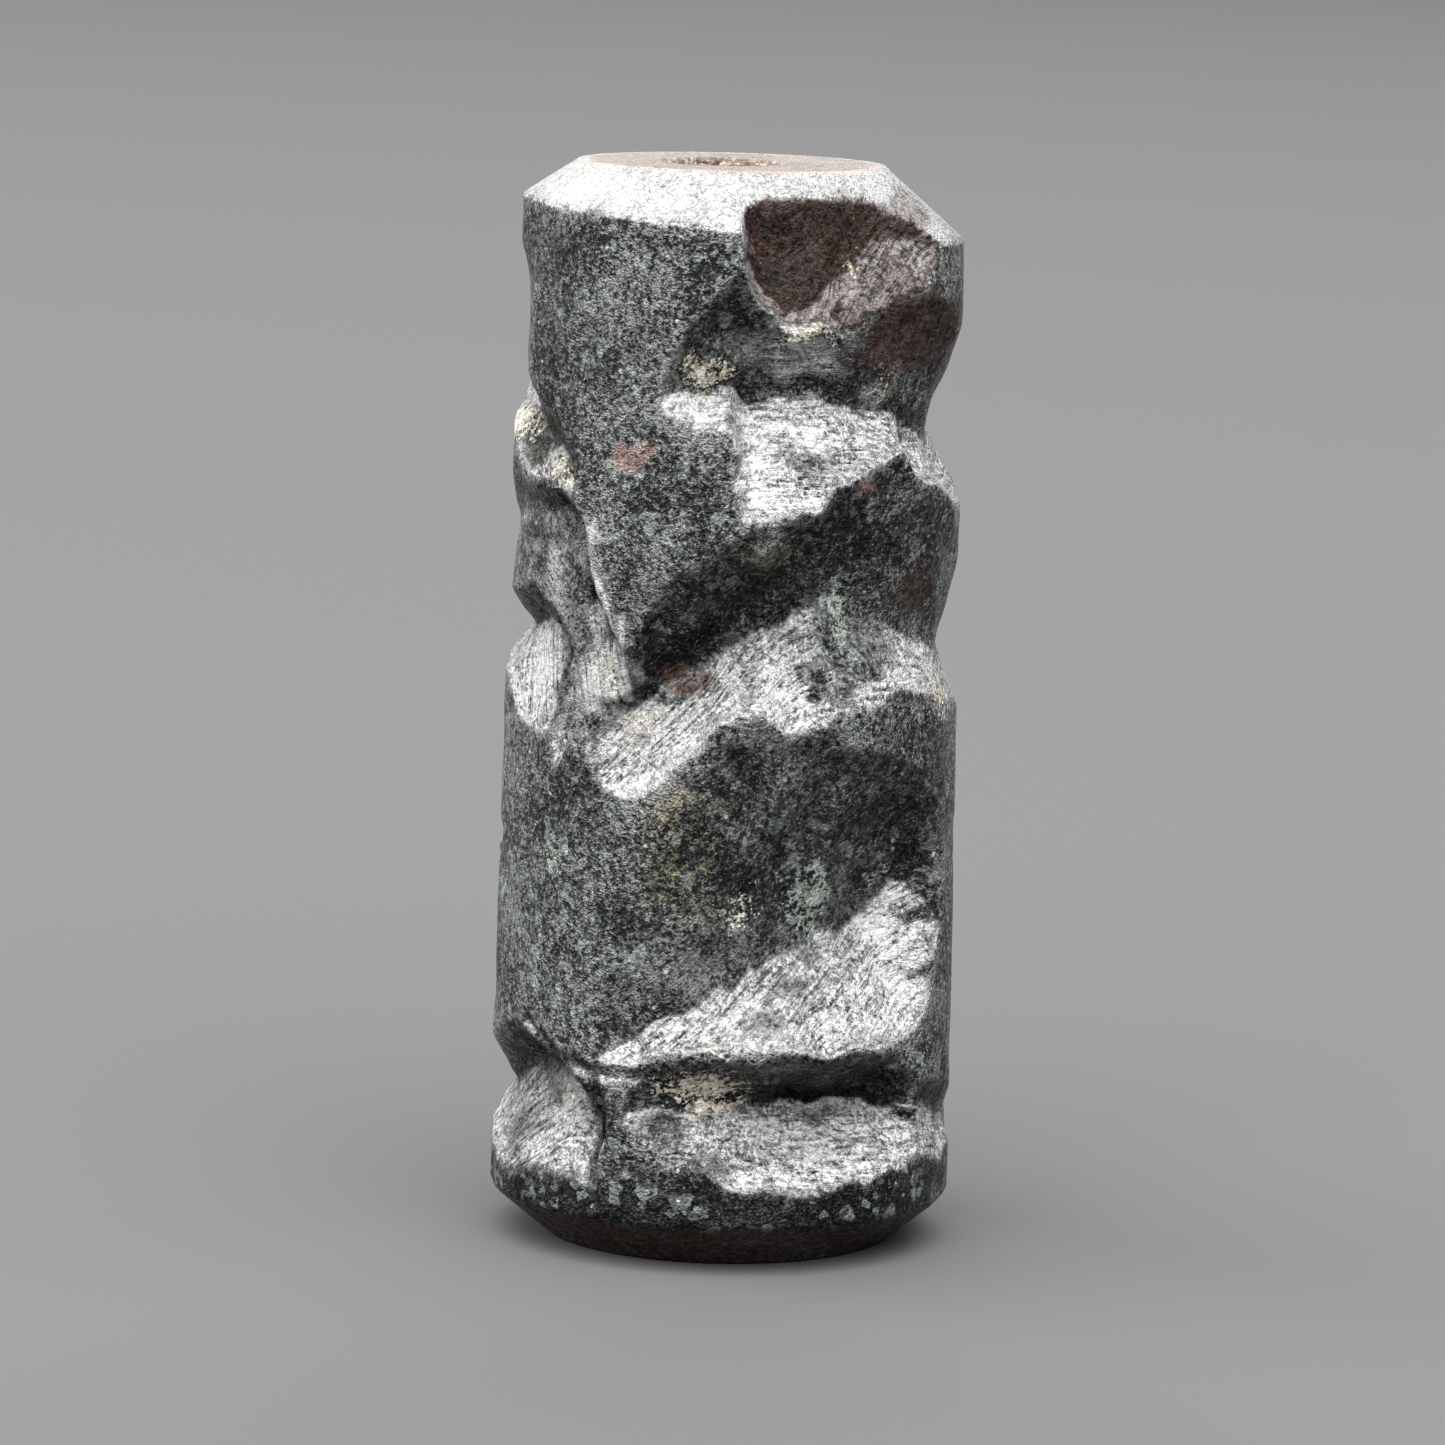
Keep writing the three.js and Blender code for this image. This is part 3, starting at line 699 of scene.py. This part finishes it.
# How steeply each wall faces up or down. In the finish, walls that face up are painted pale, as frosting
# and painted highlight, and walls that face down are painted dark as shade.
steepest = 1.2
scratched_depth = 0.2
fall = np.gradient(ring_radius, axis=1) / np.gradient(ring_z, axis=1)
give_stone("facing up", np.clip(-fall, 0, steepest))
give_stone("facing down", np.clip(fall, 0, steepest))
give_stone("scratched", np.clip(cut / scratched_depth, 0, 1) * clear_of_others * on_side)
give_stone("across", across)

# How far each point lies under or over a much smoother stone: hollows are darkened, partly as dirt and
# partly as painted shade, and ridges are rubbed pale.
smoothing_passes = 50
give_stone("hollow", worn(ring_radius, smoothing_passes) - ring_radius)

stone = bpy.data.objects.new("carved_stone", stone_mesh)
bpy.context.scene.collection.objects.link(stone)


class Wiring:
    """Adds nodes to a tree and joins them, so that a finish reads from top to bottom."""

    def __init__(self, tree):
        self.nodes = tree.nodes
        self.links = tree.links

    def add(self, kind, **inputs):
        """A node of that kind, with its inputs fed."""
        node = self.nodes.new(kind)
        for name, value in inputs.items():
            self.feed(node.inputs[name.replace("_", " ")], value)
        return node

    def feed(self, socket, value):
        """Joins an output to the socket, or sets a plain value on it."""
        if isinstance(value, bpy.types.NodeSocket):
            self.links.new(value, socket)
        else:
            socket.default_value = value

    def math(self, operation, *values):
        """One step of arithmetic."""
        node = self.nodes.new("ShaderNodeMath")
        node.operation = operation
        for socket, value in zip(node.inputs, values):
            self.feed(socket, value)
        return node.outputs[0]

    def plus(self, first, second):
        return self.math("ADD", first, second)

    def less(self, first, second):
        return self.math("SUBTRACT", first, second)

    def times(self, first, second):
        return self.math("MULTIPLY", first, second)

    def most(self, first, second):
        return self.math("MAXIMUM", first, second)

    def mixed(self, *parts):
        """Adds up values, each times its share."""
        total = 0.0
        for value, share in parts:
            total = self.plus(total, self.times(value, share))
        return total

    def off_half(self, value):
        """How far a value lies from a half, either way, which draws thin curls from a noise."""
        return self.math("ABSOLUTE", self.less(value, 0.5))

    def blend(self, share, first, second):
        """The first colour, turning into the second as the share grows."""
        node = self.nodes.new("ShaderNodeMix")
        node.data_type = "RGBA"
        self.feed(node.inputs[0], share)
        self.feed(node.inputs[6], first)
        self.feed(node.inputs[7], second)
        return node.outputs[2]

    def span(self, value, low, high, to_low=0.0, to_high=1.0):
        """Stretches low to high over to_low to to_high, and stops at either end."""
        node = self.nodes.new("ShaderNodeMapRange")
        self.feed(node.inputs["Value"], value)
        node.inputs["From Min"].default_value = low
        node.inputs["From Max"].default_value = high
        node.inputs["To Min"].default_value = to_low
        node.inputs["To Max"].default_value = to_high
        return node.outputs[0]

    def noise(self, place, scale, detail, rough):
        """A soft random pattern about a half."""
        node = self.add("ShaderNodeTexNoise", Vector=place, Scale=scale, Detail=detail, Roughness=rough)
        return node.outputs["Fac"]

    def cells(self, place, scale):
        """Angular cells: three random numbers for each cell, and the distance from its middle."""
        node = self.add("ShaderNodeTexVoronoi", Vector=place, Scale=scale, Randomness=1.0)
        picks = self.add("ShaderNodeSeparateColor", Color=node.outputs["Color"]).outputs
        return picks, node.outputs["Distance"]

    def given(self, name):
        """A value stored on the stone."""
        node = self.nodes.new("ShaderNodeAttribute")
        node.attribute_name = name
        return node.outputs["Fac"]

    def stained(self, name, breaking, share, low, high):
        """Where a stain shows, with its edge broken up by a noise."""
        return self.span(self.plus(self.given(name), self.times(breaking, share)), low, high)


# One finish for all of the stone: sawn, frosted, rubbed and stained surfaces run into each other, with
# painted highlight on walls that face up and painted shade in hollows and on walls that face down.
greenstone = bpy.data.materials.new("greenstone")
greenstone.use_nodes = True
w = Wiring(greenstone.node_tree)
w.nodes.clear()
place = w.add("ShaderNodeTexCoord").outputs["Object"]
in_mm = w.add("ShaderNodeMapping", Vector=place, Scale=(1 / MM, 1 / MM, 1 / MM)).outputs[0]
right, back, up = w.add("ShaderNodeSeparateXYZ", Vector=in_mm).outputs

# Black-green ground mass, sugary with grey crystals, and crystals like short curved threads.
crystals = w.noise(in_mm, 5.5, 3.0, 0.7)
sugar_grain = w.noise(in_mm, 12.0, 2.0, 0.6)
mottle = w.noise(in_mm, 0.5, 4.0, 0.6)
threads = w.off_half(w.noise(in_mm, 3.6, 2.0, 0.5))
thread = w.times(w.span(threads, 0.035, 0.008), w.span(sugar_grain, 0.4, 0.55))
speckle = w.mixed((crystals, 0.65), (sugar_grain, 0.35), (w.less(mottle, 0.5), 0.4), (thread, 0.09))
broken = w.noise(in_mm, 2.4, 6.0, 0.72)
fine_break = w.noise(in_mm, 6.5, 4.0, 0.75)
painted_shade = w.given("painted_shade")
painted_highlight = w.given("painted_highlight")
# Spots of painted highlight count as walls that face up.
facing_up = w.plus(w.given("facing up"), w.times(painted_highlight, 0.4))
facing_down = w.span(w.given("facing down"), 0.05, 0.4)
hollow = w.given("hollow")
# Hollows are darkened, less where they face up, partly as dirt and partly as painted shade; walls that
# face down are darkened as painted shade.
hollow_dirt_and_shade = w.times(w.span(hollow, 0.1, 0.4), w.span(facing_up, 0.1, 0.4, 1.0, 0.15))
pale = w.stained("pale", broken, 1.6, 1.3, 1.6)
dirt_and_shade = w.most(hollow_dirt_and_shade, w.times(facing_down, 0.8))
dirt_and_shade = w.times(dirt_and_shade, w.span(pale, 0.0, 1.0, 1.0, 0.2))
olive = w.stained("olive", fine_break, 1.6, 1.1, 1.5)
lit_crystal = w.mixed((speckle, 1.0), (w.most(dirt_and_shade, painted_shade), -0.06), (pale, 0.05))
lit_crystal = w.span(lit_crystal, 0.5, 0.575)
hue = w.span(w.noise(in_mm, 0.9, 3.0, 0.6), 0.4, 0.6)
crystal_tone = w.blend(hue, (0.14, 0.15, 0.162, 1), (0.14, 0.153, 0.133, 1))
crystal_tone = w.blend(olive, crystal_tone, (0.25, 0.21, 0.085, 1))
crystal_tone = w.blend(pale, crystal_tone, (0.38, 0.45, 0.38, 1))
ground = w.blend(lit_crystal, (0.005, 0.006, 0.007, 1), crystal_tone)
# Painted shade: in its spots the ground is darkened towards black.
ground = w.blend(w.times(painted_shade, 0.5), ground, (0.003, 0.003, 0.003, 1))

# Whole grains of paler minerals, angular, of two sizes.
grainy = w.times(w.given("grainy"), 0.09)
for grain_scale, share, strength in ((2.2, 0.96, 0.9), (4.2, 0.94, 0.8)):
    picks, _ = w.cells(in_mm, grain_scale)
    grain = w.span(w.plus(picks[0], grainy), share, share + 0.02)
    grain = w.times(grain, w.span(crystals, 0.36, 0.5))
    grain = w.times(grain, w.span(picks[1], 0.0, 1.0, 0.3 * strength, strength))
    ground = w.blend(grain, ground, (0.24, 0.275, 0.245, 1))

# A few crystals shine: painted glints, pale spots put into the colour.
picks, off_middle = w.cells(in_mm, 5.0)
painted_glint = w.times(w.span(picks[2], 0.98, 0.985), w.span(off_middle, 0.36, 0.24))
ground = w.blend(w.times(painted_glint, 0.8), ground, (0.6, 0.62, 0.6, 1))

# Walls that face up are frosted by the wheel and painted pale as a highlight, with fine scratches along
# each groove, except where the frosting has chipped off or the highlight is left off. The chamfer,
# rubbed most, is painted nearly white as a highlight.
scratch_place = w.add(
    "ShaderNodeCombineXYZ",
    X=w.times(w.given("across"), 9.0),
    Y=w.times(right, 1.2),
    Z=w.times(back, 1.2),
).outputs[0]
scratches = w.noise(scratch_place, 1.0, 4.0, 0.65)
worn_through = w.mixed((speckle, 0.55), (scratches, 0.45), (w.span(threads, 0.03, 0.0), -0.06))
frost_highlight_gap = w.stained("frost_highlight_gaps", broken, 0.8, 0.7, 1.1)
frost_highlight_mask = w.times(w.span(facing_up, 0.12, 0.42), w.span(frost_highlight_gap, 0.0, 1.0, 1.0, 0.1))
frost_highlight = w.times(frost_highlight_mask, w.span(worn_through, 0.36, 0.47))
curls = w.span(w.off_half(w.noise(in_mm, 4.4, 2.0, 0.55)), 0.05, 0.0)
frost_highlight_pattern = w.mixed((broken, 0.25), (fine_break, 0.45), (scratches, 0.3), (curls, 0.07), (painted_highlight, 0.06))
frost_highlight_tone = w.blend(w.span(frost_highlight_pattern, 0.46, 0.585), (0.085, 0.091, 0.098, 1), (0.82, 0.82, 0.8, 1))
ground = w.blend(w.times(frost_highlight, 0.9), ground, frost_highlight_tone)
# Painted highlight: the top chamfer, which faces up most, is painted nearly white.
chamfer_highlight = w.times(w.span(facing_up, 0.7, 1.1), w.span(speckle, 0.3, 0.42))
chamfer_highlight = w.times(chamfer_highlight, w.span(up, seal_height - 2.2, seal_height - 1.8))
chamfer_highlight_tone = w.blend(w.span(fine_break, 0.4, 0.56), (0.28, 0.28, 0.28, 1), (0.43, 0.425, 0.42, 1))
ground = w.blend(w.times(chamfer_highlight, 0.92), ground, chamfer_highlight_tone)

# Ridges are rubbed pale. Hollows and walls that face down are darkened towards black: painted shade,
# with some dirt in the hollows.
ridge = w.times(w.span(hollow, -0.04, -0.14), w.span(speckle, 0.42, 0.52))
ridge = w.times(ridge, w.span(painted_shade, 0.0, 0.6, 1.0, 0.0))
ground = w.blend(w.times(ridge, 0.45), ground, (0.26, 0.27, 0.27, 1))
ground = w.blend(w.times(dirt_and_shade, 0.5), ground, (0.004, 0.004, 0.004, 1))

# The chamfer round the base is smooth, from standing, and stained a dark reddish brown.
base_skin = w.span(up, base_chamfer_height + 0.05, base_chamfer_height - 0.15)
base_skin = w.times(base_skin, w.span(fine_break, 0.62, 0.5))
ground = w.blend(w.times(base_skin, 0.92), ground, (0.042, 0.02, 0.016, 1))

# Stains: red-brown hollows, red spots, tan crust.
rust = w.stained("rust", broken, 1.4, 1.05, 1.35)
# Where the pocket's walls face up the rust thins and is painted paler, as a highlight.
rust = w.times(rust, w.span(facing_up, 0.3, 0.55, 1.0, 0.85))
rust_lit_tone = w.blend(w.span(facing_up, 0.2, 0.5), (0.1, 0.058, 0.045, 1), (0.27, 0.21, 0.195, 1))
rust_break = w.mixed((fine_break, 0.5), (scratches, 0.3), (broken, 0.2))
rust_tone = w.blend(w.span(rust_break, 0.44, 0.57), (0.008, 0.005, 0.004, 1), rust_lit_tone)
ground = w.blend(w.times(rust, 0.92), ground, rust_tone)
red = w.stained("red", fine_break, 1.6, 1.25, 1.5)
red_tone = w.blend(w.span(fine_break, 0.42, 0.6), (0.1, 0.055, 0.05, 1), (0.38, 0.22, 0.19, 1))
ground = w.blend(w.times(red, 0.85), ground, red_tone)
crust = w.mixed((w.given("crust"), 0.8), (fine_break, 2.6), (broken, 1.4), (sugar_grain, 1.6))
crust = w.span(crust, 3.45, 3.6)
crust_tone = w.blend(w.span(crystals, 0.42, 0.56), (0.5, 0.43, 0.31, 1), (0.9, 0.86, 0.75, 1))
ground = w.blend(w.times(crust, 0.92), ground, crust_tone)

# The flat top keeps a skin of pinkish lime.
top_skin = w.span(up, seal_height - 0.1, seal_height - 0.03)
top_skin = w.times(top_skin, w.span(fine_break, 0.3, 0.5))
ground = w.blend(w.times(top_skin, 0.8), ground, (0.4, 0.32, 0.28, 1))

# The bore is lined with brown earth, with crumbs of lime.
off_bore = w.plus(right, w.times(up, -bore_top_shift / seal_height))
off_bore = w.plus(w.math("POWER", off_bore, 2.0), w.math("POWER", back, 2.0))
off_bore = w.math("SQRT", off_bore)
lining = w.span(off_bore, bore_radius + 0.3, bore_radius + 0.1)
lining = w.times(lining, w.span(fine_break, 0.36, 0.44))
lining_tone = w.blend(w.span(fine_break, 0.5, 0.6), (0.16, 0.1, 0.075, 1), (0.5, 0.4, 0.33, 1))
ground = w.blend(lining, ground, lining_tone)

# The scratches show in the relief too, where the stone was cut.
scratches = w.times(w.less(scratches, 0.5), w.given("scratched"))
smoother = w.span(facing_up, 0.1, 0.5, 1.0, 0.7)
relief = w.times(w.mixed((crystals, 1.2), (sugar_grain, 0.7), (thread, 0.35)), smoother)
relief = w.plus(relief, w.times(scratches, 0.9))
relief = w.times(relief, w.span(base_skin, 0.0, 1.0, 1.0, 0.4))
relief = w.plus(relief, w.times(crust, 0.35))
bump = w.add("ShaderNodeBump", Strength=1.0, Distance=0.15 * MM, Height=relief).outputs[0]

gloss = w.span(crystals, 0.35, 0.65, 0.38, 0.2)
gloss = w.most(gloss, w.times(crust, 0.8))
gloss = w.most(gloss, w.times(rust, 0.65))
sheen = w.span(speckle, 0.42, 0.6, 0.1, 0.9)
sheen = w.most(sheen, w.times(frost_highlight_mask, w.span(worn_through, 0.38, 0.52)))
sheen = w.times(sheen, w.span(base_skin, 0.0, 1.0, 1.0, 0.5))
sheen = w.times(sheen, w.span(rust, 0.0, 1.0, 1.0, 0.35))
sheen = w.times(sheen, w.span(w.most(dirt_and_shade, painted_shade), 0.0, 1.0, 1.0, 0.25))
shader = w.add("ShaderNodeBsdfPrincipled", Base_Color=ground, Roughness=gloss, Normal=bump)
w.feed(shader.inputs["Specular IOR Level"], sheen)
shader.inputs["IOR"].default_value = 1.75
w.add("ShaderNodeOutputMaterial", Surface=shader.outputs[0])
stone_mesh.materials.append(greenstone)

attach(stone, "root")
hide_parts("seal_stone")

# The floor. A plain pale matt sheet that the stone stands on.
floor_reach = 3.0
floor_grey = (0.097, 0.097, 0.099, 1)
floor_mesh = bpy.data.meshes.new("floor")
floor_corners = [(x * floor_reach, y * floor_reach, 0) for x, y in ((-1, -1), (1, -1), (1, 1), (-1, 1))]
floor_mesh.from_pydata(floor_corners, [], [(0, 1, 2, 3)])
floor = bpy.data.objects.new("floor", floor_mesh)
bpy.context.scene.collection.objects.link(floor)
pale_sheet = bpy.data.materials.new("pale_sheet")
pale_sheet.use_nodes = True
sheet_shader = pale_sheet.node_tree.nodes["Principled BSDF"]
sheet_shader.inputs["Base Color"].default_value = floor_grey
sheet_shader.inputs["Roughness"].default_value = 0.9
floor_mesh.materials.append(pale_sheet)


# The light. One wide soft light overhead, weaker ones behind and at the left, and a faint surround.
def soft_light(name, place, aim, width, depth, power):
    """A rectangular soft light at a place in mm, turned to face its aim."""
    data = bpy.data.lights.new(name, "AREA")
    data.shape = "RECTANGLE"
    data.size = width * MM
    data.size_y = depth * MM
    data.energy = power
    light = bpy.data.objects.new(name, data)
    place = np.array(place, dtype=float)
    aim = np.array(aim, dtype=float)
    light.location = place * MM
    facing = Vector(aim - place)
    light.rotation_euler = facing.to_track_quat("-Z", "Y").to_euler()
    bpy.context.scene.collection.objects.link(light)


stone_middle = (0, 0, seal_height / 2)
soft_light("overhead", (0, -450, 1000), stone_middle, 1700, 1900, 60.0)
soft_light("behind", (0, 1300, 750), stone_middle, 1800, 700, 12.0)
soft_light("left", (-1250, 250, 620), stone_middle, 1300, 800, 15.0)

surround = bpy.data.worlds.new("surround")
surround.use_nodes = True
surround.node_tree.nodes["Background"].inputs["Color"].default_value = (0.5, 0.52, 0.55, 1)
surround.node_tree.nodes["Background"].inputs["Strength"].default_value = 0.04
bpy.context.scene.world = surround
bpy.context.scene.view_settings.view_transform = "Standard"

# The camera stands in front and a little above, rolled slightly, as the picture was taken.
camera_distance = 180.0
camera_height = 40.2
aim_point = (-0.2, 0.0, 13.88)
camera_roll = 1.55
photo_side = 1445
focal_pixels = 6734.3
camera_data = bpy.data.cameras.new("camera")
camera_data.sensor_width = 36.0
camera_data.lens = camera_data.sensor_width * focal_pixels / photo_side
camera_data.clip_start = 0.01
camera_data.clip_end = 20
camera = bpy.data.objects.new("camera", camera_data)
camera.location = (0, -camera_distance * MM, camera_height * MM)
gaze = Vector(aim_point) * MM - camera.location
level_turn = gaze.to_track_quat("-Z", "Y")
roll_turn = Matrix.Rotation(camera_roll * DEGREE, 3, "Z").to_quaternion()
camera.rotation_mode = "QUATERNION"
camera.rotation_quaternion = level_turn @ roll_turn
bpy.context.scene.collection.objects.link(camera)
bpy.context.scene.camera = camera
